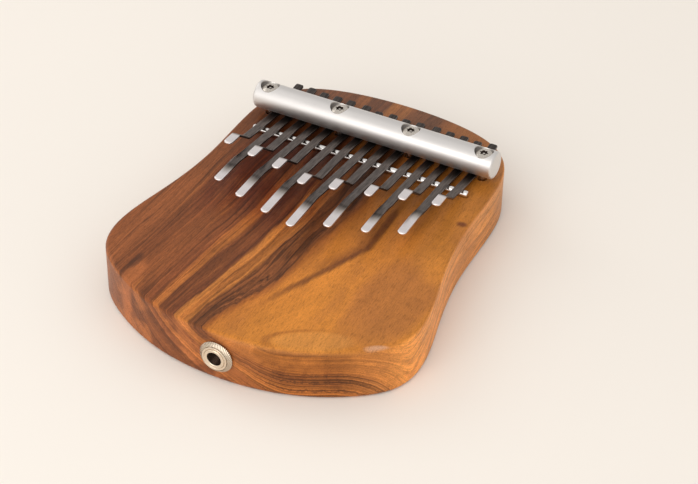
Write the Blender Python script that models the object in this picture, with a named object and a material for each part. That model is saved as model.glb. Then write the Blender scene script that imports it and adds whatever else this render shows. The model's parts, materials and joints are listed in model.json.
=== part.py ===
"""Fifteen-tine board mbira with a round pressure bar and a contact pickup.

Every length below is in millimetres and the meshes are written in metres.
The origin is at the bottom centre of the instrument: +X runs along the pressure
bar, +Y towards the bar end and +Z up from the surface that the board rests on.
"""
import math

import bmesh
import bpy

MM = 0.001
GAP = 0.3                     # air kept between pieces that touch on the real instrument
BLEND = 0.35                  # the same, where a tine crosses a rod at a slope

# Board
BOARD_T = 25.0
TOP_ROUND = 3.6
BOTTOM_ROUND = 2.0
OUTLINE_STEPS = 5
# Control points of the right half of the outline, from the bar end to the player's end
OUTLINE_CONTROL = (
    (0.0, 93.4), (29.4, 91.0), (51.6, 83.6), (62.5, 68.0), (63.7, 44.0), (62.8, 15.0),
    (67.4, -13.6), (74.6, -39.8), (72.8, -61.4), (56.0, -75.2), (31.0, -87.6), (0.0, -91.4),
)
FRONT_Y = (2 * OUTLINE_CONTROL[-2][1] + 4 * OUTLINE_CONTROL[-1][1]) / 6

# Pressure bar and its screws
BAR_Y = 57.6
BAR_R = 6.5
BAR_Z = BOARD_T + 8.8
BAR_LENGTH = 120.7
BAR_CHAMFER = 0.7
SCREW_X = (-54.1, -18.0, 18.0, 54.1)
SCREW_HEAD_R = 3.95
SCREW_SHANK_R = 1.5
SCREW_THREAD_R = 1.95
SCREW_TIP_Z = 10.5
SCREW_RIM_Z = BAR_Z + BAR_R - 1.7
SCREW_DOME = 0.8
LOBES = 6
LOBE_R = 1.70
LOBE_DEPTH = 0.28
RECESS_DEPTH = 1.6

# Bridges: steel rods lying in grooves across the board
FRONT_BRIDGE_Y = BAR_Y - 16.0
FRONT_BRIDGE_R = 1.6
FRONT_BRIDGE_TOP = 2.85
FRONT_BRIDGE_LENGTH = 108.4
REAR_BRIDGE_Y = BAR_Y + 11.0
REAR_BRIDGE_R = 1.3
REAR_BRIDGE_TOP = 1.3
REAR_BRIDGE_LENGTH = 106.0

# Tines, numbered from -X to +X
PITCH = 7.0
GROUP_GAP = 8.14
TINE_W = 4.0
TINE_T = 1.0
HINGE_Y = FRONT_BRIDGE_Y - 1.15
# How far each tine runs on behind the bar's axis
REAR_REACH = (22.1, 22.3, 21.6, 21.8, 21.8, 21.6, 19.8, 21.0, 20.3, 21.0, 21.6, 21.0, 21.0, 20.3, 21.6)
TIP_CORNER = 1.3
# (how far the tip reaches past the front bridge, height of the tip above the board)
TINES = (
    (31.3, 14.2), (52.6, 10.3), (35.1, 14.7), (58.6, 10.5), (38.3, 15.0),
    (63.4, 10.7), (43.3, 15.2), (66.7, 10.7), (40.5, 15.4), (59.0, 10.2),
    (36.4, 14.6), (53.1, 8.8), (31.7, 14.3), (46.0, 8.0), (27.1, 13.2),
)
SHORT_TIP = 8.3               # flat playing pad of a cranked tine
CRANK_RUNS = (8.8, 8.8, 8.8, 8.8, 8.8, 8.4, 7.8, 7.3)     # of the cranked tines, from the left
CRANK_FOOT = 6.5              # height of the top face where the crank starts
PAD_RISE = 0.7
LONG_KNEE = 0.53              # share of the reach before a long tine steepens
LONG_KNEE_RUN = 8.0
LONG_KNEE_RISE = 1.5

# Pickup: jack, piezo disc and wires in a cavity under the board
JACK_X = 1.5
JACK_Z = 13.2
JACK_BORE_R = 3.25
BARREL_R = 4.7
NUT_R = 7.8
NUT_FACE_R = 6.2
NUT_TEETH = 30
CAVITY = ((-20.0, -82.3, 0.0), (20.0, -14.0, 20.5))
RECESS = ((-27.3, -84.1, 0.0), (27.3, -12.2, 2.3))
COVER_T = 1.8
COVER_Z = 0.15
COVER_SCREWS = ((-23.6, -76.0), (23.6, -76.0), (-23.6, -20.0), (23.6, -20.0))
PIEZO_Y = -31.0
PIEZO_R = 13.5
CERAMIC_R = 9.0


# ---------------------------------------------------------------- scene and materials
def clear_scene():
    for obj in list(bpy.data.objects):
        bpy.data.objects.remove(obj, do_unlink=True)


def material(name, colour, roughness, metallic):
    mat = bpy.data.materials.new(name)
    mat.use_nodes = True
    shader = mat.node_tree.nodes["Principled BSDF"]
    shader.inputs["Base Color"].default_value = (*colour, 1.0)
    shader.inputs["Roughness"].default_value = roughness
    shader.inputs["Metallic"].default_value = metallic
    mat.diffuse_color = (*colour, 1.0)
    return mat


def make_materials():
    return {
        "wood": material("oiled_walnut", (0.20, 0.075, 0.025), 0.42, 0.0),
        "bar": material("satin_aluminium", (0.78, 0.77, 0.75), 0.32, 1.0),
        "screw": material("screw_steel", (0.62, 0.60, 0.58), 0.30, 1.0),
        "tine": material("spring_steel", (0.24, 0.23, 0.23), 0.34, 1.0),
        "bridge": material("polished_steel", (0.80, 0.79, 0.77), 0.18, 1.0),
        "nickel": material("nickel_plate", (0.62, 0.56, 0.47), 0.27, 1.0),
        "plastic": material("black_plastic", (0.02, 0.02, 0.022), 0.5, 0.0),
        "brass": material("brass_sheet", (0.70, 0.50, 0.20), 0.35, 1.0),
        "ceramic": material("piezo_ceramic", (0.80, 0.77, 0.68), 0.5, 0.0),
        "red": material("red_insulation", (0.45, 0.02, 0.02), 0.5, 0.0),
        "black": material("black_insulation", (0.02, 0.02, 0.02), 0.5, 0.0),
    }


# ---------------------------------------------------------------- mesh helpers
def add_object(name, verts, faces, mat, origin=(0.0, 0.0, 0.0), smooth=None):
    """Make one closed mesh object from world points in millimetres."""
    mesh = bpy.data.meshes.new(name)
    points = [tuple((v[i] - origin[i]) * MM for i in range(3)) for v in verts]
    mesh.from_pydata(points, [], faces)
    bm = bmesh.new()
    bm.from_mesh(mesh)
    bmesh.ops.recalc_face_normals(bm, faces=bm.faces[:])
    bm.to_mesh(mesh)
    bm.free()
    mesh.materials.append(mat)
    if smooth is not None:
        mesh.shade_smooth()
        mesh.set_sharp_from_angle(angle=math.radians(smooth))
    obj = bpy.data.objects.new(name, mesh)
    obj.location = tuple(c * MM for c in origin)
    bpy.context.collection.objects.link(obj)
    return obj


def loft(rings, closed_ends=True):
    """Join equal rings of points into one skin, with an n-gon on each end."""
    count = len(rings[0])
    verts = [p for ring in rings for p in ring]
    faces = []
    for k in range(len(rings) - 1):
        for i in range(count):
            j = (i + 1) % count
            a, b = k * count, (k + 1) * count
            faces.append((a + i, a + j, b + j, b + i))
    if closed_ends:
        faces.append(tuple(range(count - 1, -1, -1)))
        last = (len(rings) - 1) * count
        faces.append(tuple(last + i for i in range(count)))
    return verts, faces


def hoop(rings):
    """Join rings into a skin whose last ring meets its first, as on a washer."""
    verts, faces = loft(rings, closed_ends=False)
    count = len(rings[0])
    last = (len(rings) - 1) * count
    for i in range(count):
        j = (i + 1) % count
        faces.append((last + i, last + j, j, i))
    return verts, faces


def circle(centre, axis, along, radius, segments):
    """A ring about X, Y or Z through centre; radius may be a function of the angle."""
    points = []
    for i in range(segments):
        angle = 2 * math.pi * i / segments
        r = radius(angle) if callable(radius) else radius
        u, v = r * math.cos(angle), r * math.sin(angle)
        offset = {"x": (along, u, v), "y": (u, along, v), "z": (u, v, along)}[axis]
        points.append(tuple(c + o for c, o in zip(centre, offset)))
    return points


def turned(name, centre, axis, profile, segments, mat, origin=(0.0, 0.0, 0.0), smooth=35):
    """Lathe a profile of (radius, distance along the axis) into a closed solid."""
    rings = [circle(centre, axis, along, radius, segments) for radius, along in profile]
    verts, faces = loft(rings)
    return add_object(name, verts, faces, mat, origin, smooth)


def turned_ring(name, centre, axis, profile, segments, mat):
    """Lathe a closed profile that doesn't touch the axis."""
    rings = [circle(centre, axis, along, radius, segments) for radius, along in profile]
    verts, faces = hoop(rings)
    return add_object(name, verts, faces, mat, smooth=35)


def box_points(low, high):
    ring = [(low[0], low[1]), (high[0], low[1]), (high[0], high[1]), (low[0], high[1])]
    return [[(x, y, z) for x, y in ring] for z in (low[2], high[2])]


def rounded_box_points(low, high, radius, steps=4):
    """Two rings of a box whose upright edges are rounded."""
    ring = []
    corners = ((high[0], high[1], 0), (low[0], high[1], 90), (low[0], low[1], 180), (high[0], low[1], 270))
    for x, y, start in corners:
        cx = x - math.copysign(radius, x - (low[0] + high[0]) / 2)
        cy = y - math.copysign(radius, y - (low[1] + high[1]) / 2)
        for k in range(steps + 1):
            angle = math.radians(start + 90 * k / steps)
            ring.append((cx + radius * math.cos(angle), cy + radius * math.sin(angle)))
    return [[(x, y, z) for x, y in ring] for z in (low[2], high[2])]


def cut(target, name, verts, faces):
    """Subtract a hidden cutter from target."""
    cutter = add_object(name, verts, faces, target.data.materials[0])
    cutter.hide_render = True
    cutter.display_type = "WIRE"
    modifier = target.modifiers.new(name, "BOOLEAN")
    modifier.operation = "DIFFERENCE"
    modifier.solver = "EXACT"
    modifier.object = cutter


def cut_turned(target, name, centre, axis, profile, segments=24):
    rings = [circle(centre, axis, along, radius, segments) for radius, along in profile]
    cut(target, name, *loft(rings))


# ---------------------------------------------------------------- board
def outline():
    """Closed B-spline outline as (point, outward normal) pairs."""
    right = list(OUTLINE_CONTROL)
    ring = right + [(-x, y) for x, y in reversed(right[1:-1])]
    count = len(ring)
    samples = []
    for k in range(count):
        p = [ring[(k + i) % count] for i in range(4)]
        for s in range(OUTLINE_STEPS):
            t = s / OUTLINE_STEPS
            w = ((1 - t) ** 3, 3 * t**3 - 6 * t**2 + 4, -3 * t**3 + 3 * t**2 + 3 * t + 1, t**3)
            d = (-((1 - t) ** 2), 3 * t**2 - 4 * t, -3 * t**2 + 2 * t + 1, t**2)
            x, y = (sum(w[i] * p[i][c] for i in range(4)) / 6 for c in (0, 1))
            dx, dy = (sum(d[i] * p[i][c] for i in range(4)) for c in (0, 1))
            length = math.hypot(dx, dy)
            samples.append(((x, y), (-dy / length, dx / length)))
    return samples


def board_rings():
    """Outline offset inwards and lifted, round the bottom edge and then the top edge."""
    steps = []
    for k in range(4):
        angle = math.radians(90 * k / 3)
        steps.append((BOTTOM_ROUND * (1 - math.sin(angle)), BOTTOM_ROUND * (1 - math.cos(angle))))
    for k in range(6):
        angle = math.radians(90 * k / 5)
        steps.append((TOP_ROUND * (1 - math.cos(angle)), BOARD_T - TOP_ROUND * (1 - math.sin(angle))))
    samples = outline()
    return [[(p[0] - n[0] * inset, p[1] - n[1] * inset, z) for p, n in samples] for inset, z in steps]


def groove(target, name, y, z, radius, length):
    """Trough across the board top for a bridge rod lying along X."""
    profile = [(radius, -length / 2), (radius, length / 2)]
    cut_turned(target, name, (0.0, y, z), "x", profile, 20)


def make_board(mats):
    verts, faces = loft(board_rings())
    board = add_object("board", verts, faces, mats["wood"], smooth=30)
    cut(board, "cut_cavity", *loft(rounded_box_points((*CAVITY[0][:2], -1.0), CAVITY[1], 4.0)))
    cut(board, "cut_recess", *loft(rounded_box_points((*RECESS[0][:2], -1.0), RECESS[1], 4.3)))
    bore = [(BARREL_R + GAP, FRONT_Y - 2.0), (BARREL_R + GAP, CAVITY[0][1] + 1.0)]
    cut_turned(board, "cut_jack_bore", (JACK_X, 0.0, JACK_Z), "y", bore)
    hole = [(SCREW_THREAD_R + GAP, SCREW_TIP_Z - 0.5), (SCREW_THREAD_R + GAP, BOARD_T + 1.0)]
    for index, x in enumerate(SCREW_X, 1):
        cut_turned(board, f"cut_screw_{index}", (x, BAR_Y, 0.0), "z", hole, 16)
    pilot = [(1.8, 1.0), (1.8, 13.0)]
    for index, (x, y) in enumerate(COVER_SCREWS, 1):
        cut_turned(board, f"cut_pilot_{index}", (x, y, 0.0), "z", pilot, 12)
    front_z = BOARD_T + FRONT_BRIDGE_TOP - FRONT_BRIDGE_R
    groove(board, "cut_front_groove", FRONT_BRIDGE_Y, front_z, FRONT_BRIDGE_R + GAP, FRONT_BRIDGE_LENGTH + 2 * GAP)
    rear_z = BOARD_T + REAR_BRIDGE_TOP - REAR_BRIDGE_R
    groove(board, "cut_rear_groove", REAR_BRIDGE_Y, rear_z, REAR_BRIDGE_R + GAP, REAR_BRIDGE_LENGTH + 2 * GAP)


# ---------------------------------------------------------------- pressure bar and screws
def make_bar(mats):
    half = BAR_LENGTH / 2
    edge = BAR_R - BAR_CHAMFER
    profile = [(edge, -half), (BAR_R, -half + BAR_CHAMFER), (BAR_R, half - BAR_CHAMFER), (edge, half)]
    bar = turned("pressure_bar", (0.0, BAR_Y, BAR_Z), "x", profile, 48, mats["bar"])
    cone = SCREW_HEAD_R - SCREW_SHANK_R
    clear = SCREW_HEAD_R + GAP + 0.1
    through = SCREW_THREAD_R + 0.15
    seat = [
        (through, BAR_Z - BAR_R - 1.0),
        (through, SCREW_RIM_Z - cone - GAP),
        (clear, SCREW_RIM_Z - 0.1),
        (clear, BAR_Z + BAR_R + 1.0),
    ]
    for index, x in enumerate(SCREW_X, 1):
        cut_turned(bar, f"cut_seat_{index}", (x, BAR_Y, 0.0), "z", seat, 30)


def lobed(scale=1.0):
    return lambda angle: scale * (LOBE_R + LOBE_DEPTH * math.cos(LOBES * angle))


def make_clamp_screw(name, x, mats):
    """Raised countersunk wood screw with a six-lobe recess."""
    floor = SCREW_RIM_Z + SCREW_DOME - RECESS_DEPTH
    neck = SCREW_RIM_Z - (SCREW_HEAD_R - SCREW_SHANK_R)
    profile = [
        (lobed(0.90), floor),
        (lobed(1.0), SCREW_RIM_Z + SCREW_DOME - 0.12),
        (SCREW_HEAD_R * 0.62, SCREW_RIM_Z + SCREW_DOME * 0.80),
        (SCREW_HEAD_R * 0.88, SCREW_RIM_Z + SCREW_DOME * 0.38),
        (SCREW_HEAD_R, SCREW_RIM_Z + 0.05),
        (SCREW_HEAD_R, SCREW_RIM_Z - 0.15),
        (SCREW_SHANK_R, neck),
        (SCREW_SHANK_R, BOARD_T - 1.0),
    ]
    crests = 4
    pitch = (BOARD_T - 1.0 - SCREW_TIP_Z - 3.0) / crests
    for k in range(crests):
        top = BOARD_T - 1.0 - k * pitch
        profile.append((SCREW_THREAD_R, top - 0.45 * pitch))
        profile.append((SCREW_SHANK_R - 0.1, top - pitch))
    profile.append((0.35, SCREW_TIP_Z))
    turned(name, (x, BAR_Y, 0.0), "z", profile, 24, mats["screw"], (x, BAR_Y, SCREW_RIM_Z))


def make_bridge(name, y, top, radius, length, mats):
    half, cap = length / 2, radius * 0.35
    profile = [(radius - cap, -half), (radius, -half + cap), (radius, half - cap), (radius - cap, half)]
    turned(name, (0.0, y, BOARD_T + top - radius), "x", profile, 20, mats["bridge"])


# ---------------------------------------------------------------- tines
def tine_x():
    """Five tines on the centre and five on each side, the groups a little apart."""
    centre = [PITCH * k for k in range(-2, 3)]
    side = [2 * PITCH + GROUP_GAP + PITCH * k for k in range(5)]
    return [-x for x in reversed(side)] + centre + side


def rounded_path(points, radius, steps=3):
    """Replace the inner corners of a (y, z) polyline by short arcs."""
    path = [points[0]]
    for before, corner, after in zip(points, points[1:], points[2:]):
        a = (before[0] - corner[0], before[1] - corner[1])
        b = (after[0] - corner[0], after[1] - corner[1])
        la, lb = math.hypot(*a), math.hypot(*b)
        turn = math.pi - math.acos(max(-1.0, min(1.0, (a[0] * b[0] + a[1] * b[1]) / (la * lb))))
        reach = min(radius * math.tan(turn / 2), 0.45 * la, 0.45 * lb)
        p0 = (corner[0] + a[0] / la * reach, corner[1] + a[1] / la * reach)
        p2 = (corner[0] + b[0] / lb * reach, corner[1] + b[1] / lb * reach)
        for k in range(steps + 1):
            t = k / steps
            w = ((1 - t) ** 2, 2 * t * (1 - t), t * t)
            path.append(tuple(w[0] * p0[c] + w[1] * corner[c] + w[2] * p2[c] for c in (0, 1)))
    path.append(points[-1])
    return path


def strip(x, path, widths):
    """Flat strip whose top face follows a (y, z) path running towards -Y."""
    rings = []
    for k, (y, z) in enumerate(path):
        before, after = path[max(k - 1, 0)], path[min(k + 1, len(path) - 1)]
        dy, dz = after[0] - before[0], after[1] - before[1]
        length = math.hypot(dy, dz)
        down = (dz / length, -dy / length)
        if down[1] > 0:
            down = (-down[0], -down[1])
        under = (y + down[0] * TINE_T, z + down[1] * TINE_T)
        half = widths[k] / 2
        rings.append([(x - half, y, z), (x + half, y, z), (x + half, *under), (x - half, *under)])
    return loft(rings)


def anchor_path(rear_reach):
    """Clamped part of a tine: over the rear bridge, under the bar, over the front bridge."""
    over_rear = REAR_BRIDGE_TOP + BLEND + TINE_T
    under_bar = BAR_Z - BAR_R - BOARD_T - BLEND
    over_front = FRONT_BRIDGE_TOP + BLEND + TINE_T
    slope = (over_front - under_bar) / (BAR_Y - FRONT_BRIDGE_Y)
    front_y = HINGE_Y + GAP / 2
    points = [
        (BAR_Y + rear_reach, over_rear + 0.6),
        (REAR_BRIDGE_Y, over_rear),
        (BAR_Y, under_bar),
        (FRONT_BRIDGE_Y, over_front),
        (front_y, over_front + slope * (FRONT_BRIDGE_Y - front_y)),
    ]
    return [(y, BOARD_T + z) for y, z in points]


def blade_path(reach, height, crank_run, clamped_z):
    """Playing part of a tine, from the hinge line to its tip; a long tine has no crank."""
    start = (HINGE_Y - GAP / 2, clamped_z + 0.05)
    tip_y = FRONT_BRIDGE_Y - reach
    tip_z = BOARD_T + height
    if crank_run:
        pad_y = tip_y + SHORT_TIP
        points = [start, (pad_y + crank_run, BOARD_T + CRANK_FOOT), (pad_y, tip_z - PAD_RISE), (tip_y, tip_z)]
        return rounded_path(points, 1.6)
    knee_y = FRONT_BRIDGE_Y - LONG_KNEE * reach
    points = [
        start,
        (knee_y, tip_z - 0.3 - LONG_KNEE_RISE),
        (knee_y - LONG_KNEE_RUN, tip_z - 0.3),
        (tip_y, tip_z),
    ]
    return rounded_path(points, 14.0)


def add_tip(path):
    """Add the stations where the corners of the tip are rounded, and give all the widths."""
    (y0, z0), (y1, z1) = path[-2], path[-1]
    length = math.hypot(y1 - y0, z1 - z0)
    ends = []
    for angle in (0, 45, 90):
        back = TIP_CORNER * (1 - math.sin(math.radians(angle)))
        inset = TIP_CORNER * (1 - math.cos(math.radians(angle)))
        share = 1 - back / length
        ends.append(((y0 + (y1 - y0) * share, z0 + (z1 - z0) * share), TINE_W - 2 * inset))
    stations = path[:-1] + [point for point, _ in ends]
    return stations, [TINE_W] * (len(path) - 1) + [width for _, width in ends]


def make_tines(mats):
    for number, (x, (reach, height), rear_reach) in enumerate(zip(tine_x(), TINES, REAR_REACH), 1):
        anchor = anchor_path(rear_reach)
        clamped_z = anchor[-1][1]
        verts, faces = strip(x, anchor, [TINE_W] * len(anchor))
        add_object(f"tine_{number:02d}_anchor", verts, faces, mats["tine"], (x, BAR_Y, anchor[2][1]))
        crank_run = CRANK_RUNS[number // 2] if number % 2 else None
        stations, widths = add_tip(blade_path(reach, height, crank_run, clamped_z))
        verts, faces = strip(x, stations, widths)
        add_object(f"tine_{number:02d}_blade", verts, faces, mats["tine"], (x, HINGE_Y, clamped_z - TINE_T / 2), smooth=30)


# ---------------------------------------------------------------- pickup
def make_jack(mats):
    axis = (JACK_X, 0.0, JACK_Z)
    wall = CAVITY[0][1]
    washer_y = wall + GAP
    flange_y = washer_y + 0.6 + GAP
    lug_y = flange_y + 1.5 + GAP
    house_y = lug_y + 0.5 + GAP
    face = FRONT_Y - 2.5
    spigot = 4.0
    bushing = [
        (JACK_BORE_R, face + 0.35), (JACK_BORE_R + 0.35, face), (BARREL_R - 0.3, face),
        (BARREL_R, face + 0.3), (BARREL_R, flange_y), (6.4, flange_y), (6.4, flange_y + 1.5),
        (spigot, flange_y + 1.5), (spigot, house_y + 2.0), (JACK_BORE_R, house_y + 2.0),
    ]
    turned_ring("jack_bushing", axis, "y", bushing, 30, mats["nickel"])

    def knurl(radius):
        """Toothed radius of the ring nut's sloping flank."""
        return lambda angle: radius - 0.22 * (1 - math.cos(NUT_TEETH * angle)) / 2

    inner = BARREL_R + GAP
    back = FRONT_Y - GAP
    nut = [
        (inner, back), (NUT_R - 0.3, back), (knurl(NUT_R), back - 0.3), (knurl(NUT_R - 0.15), back - 0.8),
        (knurl(NUT_FACE_R + 0.2), back - 1.8), (NUT_FACE_R - 0.2, back - 2.0),
        (inner + 0.4, back - 2.0), (inner, back - 1.6),
    ]
    turned_ring("jack_nut", axis, "y", nut, 2 * NUT_TEETH, mats["nickel"])
    washer = [(5.0, washer_y), (6.8, washer_y), (6.8, washer_y + 0.6), (5.0, washer_y + 0.6)]
    turned_ring("jack_washer", axis, "y", washer, 24, mats["nickel"])
    make_sleeve_lug(lug_y, mats)
    make_housing(house_y, mats)


def make_sleeve_lug(lug_y, mats):
    """Flat ring tag behind the bushing's flange, with a tail to solder the earth wire to."""
    ring = [(4.3, lug_y), (6.0, lug_y), (6.0, lug_y + 0.5), (4.3, lug_y + 0.5)]
    lug = turned_ring("jack_sleeve_lug", (JACK_X, 0.0, JACK_Z), "y", ring, 24, mats["nickel"])
    low = (JACK_X - 10.5, lug_y, JACK_Z - 1.5)
    high = (JACK_X - 5.0, lug_y + 0.5, JACK_Z + 1.5)
    tail = add_object("cut_sleeve_tail", *loft(box_points(low, high)), mats["nickel"])
    tail.hide_render = True
    tail.display_type = "WIRE"
    joined = lug.modifiers.new("tail", "BOOLEAN")
    joined.operation = "UNION"
    joined.object = tail


def make_housing(house_y, mats):
    """Moulded trough round the plug, with the tip spring hinged at its rear wall."""
    rear = house_y + 26.0
    half = 7.2
    top = JACK_Z + 7.0
    low, high = (JACK_X - half, house_y, JACK_Z - 7.0), (JACK_X + half, rear, top)
    housing = add_object("jack_housing", *loft(rounded_box_points(low, high, 1.2, 2)), mats["plastic"])
    mouth = [(4.3, house_y - 1.0), (4.3, house_y + 4.0)]
    cut_turned(housing, "cut_mouth", (JACK_X, 0.0, JACK_Z), "y", mouth)
    low, high = (JACK_X - 3.6, house_y + 3.5, JACK_Z - 3.6), (JACK_X + 3.6, rear - 2.0, top + 1.0)
    cut(housing, "cut_channel", *loft(box_points(low, high)))
    slot_z = JACK_Z + 4.5
    low, high = (JACK_X - 2.3, rear - 3.0, slot_z - 0.5), (JACK_X + 2.3, rear + 1.0, slot_z + 1.0)
    cut(housing, "cut_slot", *loft(box_points(low, high)))

    low, high = (JACK_X - 2.0, rear - 2.6, slot_z), (JACK_X + 2.0, rear + 5.0, slot_z + 0.5)
    add_object("jack_tip_lug", *loft(box_points(low, high)), mats["nickel"])
    spring_y = rear - 2.6 - GAP
    contact_y = FRONT_Y - 2.5 + 29.5
    leaf = [
        (spring_y, slot_z + 0.5), (contact_y + 3.4, slot_z + 0.3), (contact_y, JACK_Z + 3.1),
        (contact_y - 3.0, slot_z + 0.3),
    ]
    rings = []
    for y, z in leaf:
        rings.append([(JACK_X - 1.8, y, z), (JACK_X + 1.8, y, z), (JACK_X + 1.8, y, z - 0.4), (JACK_X - 1.8, y, z - 0.4)])
    origin = (JACK_X, spring_y, slot_z + 0.25)
    add_object("jack_tip_spring", *loft(rings), mats["nickel"], origin)


def disc(name, radius, low, high, mat):
    turned(name, (0.0, PIEZO_Y, 0.0), "z", [(radius, low), (radius, high)], 36, mat)


def make_wire(name, route, mat):
    """Thin insulated wire on a smooth curve through the route's points."""
    points = []
    padded = [route[0]] + list(route) + [route[-1]]
    for k in range(len(route) - 1):
        p = padded[k:k + 4]
        for s in range(4):
            t = s / 4
            w = (
                -0.5 * t + t * t - 0.5 * t**3, 1 - 2.5 * t * t + 1.5 * t**3,
                0.5 * t + 2 * t * t - 1.5 * t**3, -0.5 * t * t + 0.5 * t**3,
            )
            points.append(tuple(sum(w[i] * p[i][c] for i in range(4)) for c in range(3)))
    points.append(route[-1])
    curve = bpy.data.curves.new(name, "CURVE")
    curve.dimensions = "3D"
    curve.bevel_depth = 0.6 * MM
    curve.bevel_resolution = 2
    curve.use_fill_caps = True
    curve.render_resolution_u = 0
    spline = curve.splines.new("POLY")
    spline.points.add(len(points) - 1)
    for target, point in zip(spline.points, points):
        target.co = (*(c * MM for c in point), 1.0)
    curve.materials.append(mat)
    obj = bpy.data.objects.new(name, curve)
    bpy.context.collection.objects.link(obj)


def make_pickup(mats):
    ceiling = CAVITY[1][2]
    disc("piezo_plate", PIEZO_R, ceiling - GAP - 0.4, ceiling - GAP, mats["brass"])
    disc("piezo_ceramic", CERAMIC_R, ceiling - 2 * GAP - 0.8, ceiling - 2 * GAP - 0.4, mats["ceramic"])
    signal = (
        (1.5, -47.1, 18.0), (1.7, -45.0, 17.4), (4.5, -42.0, 13.5), (6.0, -38.0, 11.0),
        (4.0, -34.0, 12.5), (2.1, -31.3, 16.0), (2.0, -31.0, 18.75),
    )
    earth = (
        (-8.0, -78.4, 13.2), (-8.6, -76.5, 12.8), (-11.0, -71.0, 10.5), (-13.0, -62.0, 9.0),
        (-14.0, -50.0, 9.5), (-12.5, -40.0, 12.0), (-11.3, -33.5, 15.5), (-11.2, -32.5, 19.45),
    )
    make_wire("signal_wire", signal, mats["red"])
    make_wire("earth_wire", earth, mats["black"])


def make_cover(mats):
    low = (RECESS[0][0] + GAP, RECESS[0][1] + GAP, COVER_Z)
    high = (RECESS[1][0] - GAP, RECESS[1][1] - GAP, COVER_Z + COVER_T)
    cover = add_object("cavity_cover", *loft(rounded_box_points(low, high, 4.0)), mats["plastic"])
    head_r, shank_r = 2.7, 1.2
    seat = [
        (head_r + GAP + 0.1, COVER_Z - 1.0), (head_r + GAP + 0.1, COVER_Z + 0.25),
        (shank_r + GAP, COVER_Z + 1.6), (shank_r + GAP, COVER_Z + COVER_T + 1.0),
    ]
    screw = [
        (1.0, COVER_Z + 0.9), (1.25, COVER_Z + 0.1), (head_r, COVER_Z + 0.1), (head_r, COVER_Z + 0.3),
        (shank_r, COVER_Z + 1.8), (shank_r + 0.25, COVER_Z + 3.0), (shank_r, COVER_Z + 8.0), (0.3, COVER_Z + 11.0),
    ]
    for index, (x, y) in enumerate(COVER_SCREWS, 1):
        cut_turned(cover, f"cut_cover_{index}", (x, y, 0.0), "z", seat, 20)
        turned(f"cover_screw_{index}", (x, y, 0.0), "z", screw, 16, mats["screw"])


def main():
    clear_scene()
    mats = make_materials()
    make_board(mats)
    make_bar(mats)
    for index, x in enumerate(SCREW_X, 1):
        make_clamp_screw(f"clamp_screw_{index}", x, mats)
    make_bridge("front_bridge", FRONT_BRIDGE_Y, FRONT_BRIDGE_TOP, FRONT_BRIDGE_R, FRONT_BRIDGE_LENGTH, mats)
    make_bridge("rear_bridge", REAR_BRIDGE_Y, REAR_BRIDGE_TOP, REAR_BRIDGE_R, REAR_BRIDGE_LENGTH, mats)
    make_tines(mats)
    make_jack(mats)
    make_pickup(mats)
    make_cover(mats)


main()
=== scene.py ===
"""Looks of the fifteen-tine board mbira: fine meshes, materials, light and camera.

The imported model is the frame: every piece is made where the frame has it. Shapes are worked
out in millimetres and written in metres, and materials read their place in millimetres too.
"""
import json
import math

import bmesh
import bpy
from mathutils import Matrix, Vector


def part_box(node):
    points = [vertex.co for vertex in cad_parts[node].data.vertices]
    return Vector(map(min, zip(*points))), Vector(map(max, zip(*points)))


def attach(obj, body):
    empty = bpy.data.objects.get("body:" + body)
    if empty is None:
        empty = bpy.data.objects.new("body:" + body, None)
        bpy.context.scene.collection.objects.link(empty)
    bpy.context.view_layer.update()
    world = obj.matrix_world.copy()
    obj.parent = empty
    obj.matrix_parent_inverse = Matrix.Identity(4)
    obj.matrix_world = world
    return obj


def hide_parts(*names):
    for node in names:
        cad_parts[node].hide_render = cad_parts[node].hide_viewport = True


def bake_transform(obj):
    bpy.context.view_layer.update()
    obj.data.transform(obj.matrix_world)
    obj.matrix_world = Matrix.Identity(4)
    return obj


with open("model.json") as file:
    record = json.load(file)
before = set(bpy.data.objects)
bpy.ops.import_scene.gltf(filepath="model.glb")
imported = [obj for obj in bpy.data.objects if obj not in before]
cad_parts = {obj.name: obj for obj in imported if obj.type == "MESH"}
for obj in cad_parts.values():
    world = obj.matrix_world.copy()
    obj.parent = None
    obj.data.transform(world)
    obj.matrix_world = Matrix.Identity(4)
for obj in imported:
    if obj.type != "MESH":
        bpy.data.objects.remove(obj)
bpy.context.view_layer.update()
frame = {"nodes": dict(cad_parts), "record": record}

MM = 0.001

# ---- driving sizes, in millimetres and degrees
CAMERA_PLACE = (318.31, -612.18, 567.28)
CAMERA_AZIMUTH = 26.243
CAMERA_ELEVATION = 38.996
CAMERA_ROLL = 1.169
CAMERA_LENS = 103.33

LIT = (0.0, 0.0, 0.02)        # the point that the lights face, in metres
LAMP_COLOUR = (1.0, 0.98, 0.95)
# Strength of the sky from behind the instrument (Y 0.8) to the player's side
SKY = {"From Min": 0.8, "From Max": -0.8, "To Min": 0.70, "To Max": 0.96}
FLOOR_R = 3000.0

OUTLINE_STEPS = 16
# Control points of the right half of the board's outline, from the bar end to the player's end
OUTLINE_CONTROL = (
    (0.0, 93.4), (29.4, 91.0), (51.6, 83.6), (62.5, 68.0), (63.7, 44.0), (62.8, 15.0),
    (67.4, -13.6), (74.6, -39.8), (72.8, -61.4), (56.0, -75.2), (31.0, -87.6), (0.0, -91.4),
)
CRISP_ROUND = 1.5             # rounding of the top edge all round the board
FRONT_ROUND = 4.0             # and where it is worn wide, at the player's right
ROUND_X = (-14.0, 24.0)       # over these distances it grows from crisp to wide
ROUND_Y = (-42.0, -72.0)
BOTTOM_ROUND = 2.0
SUPPORT = 0.6                 # flat margin that keeps the shading of the large faces even
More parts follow.
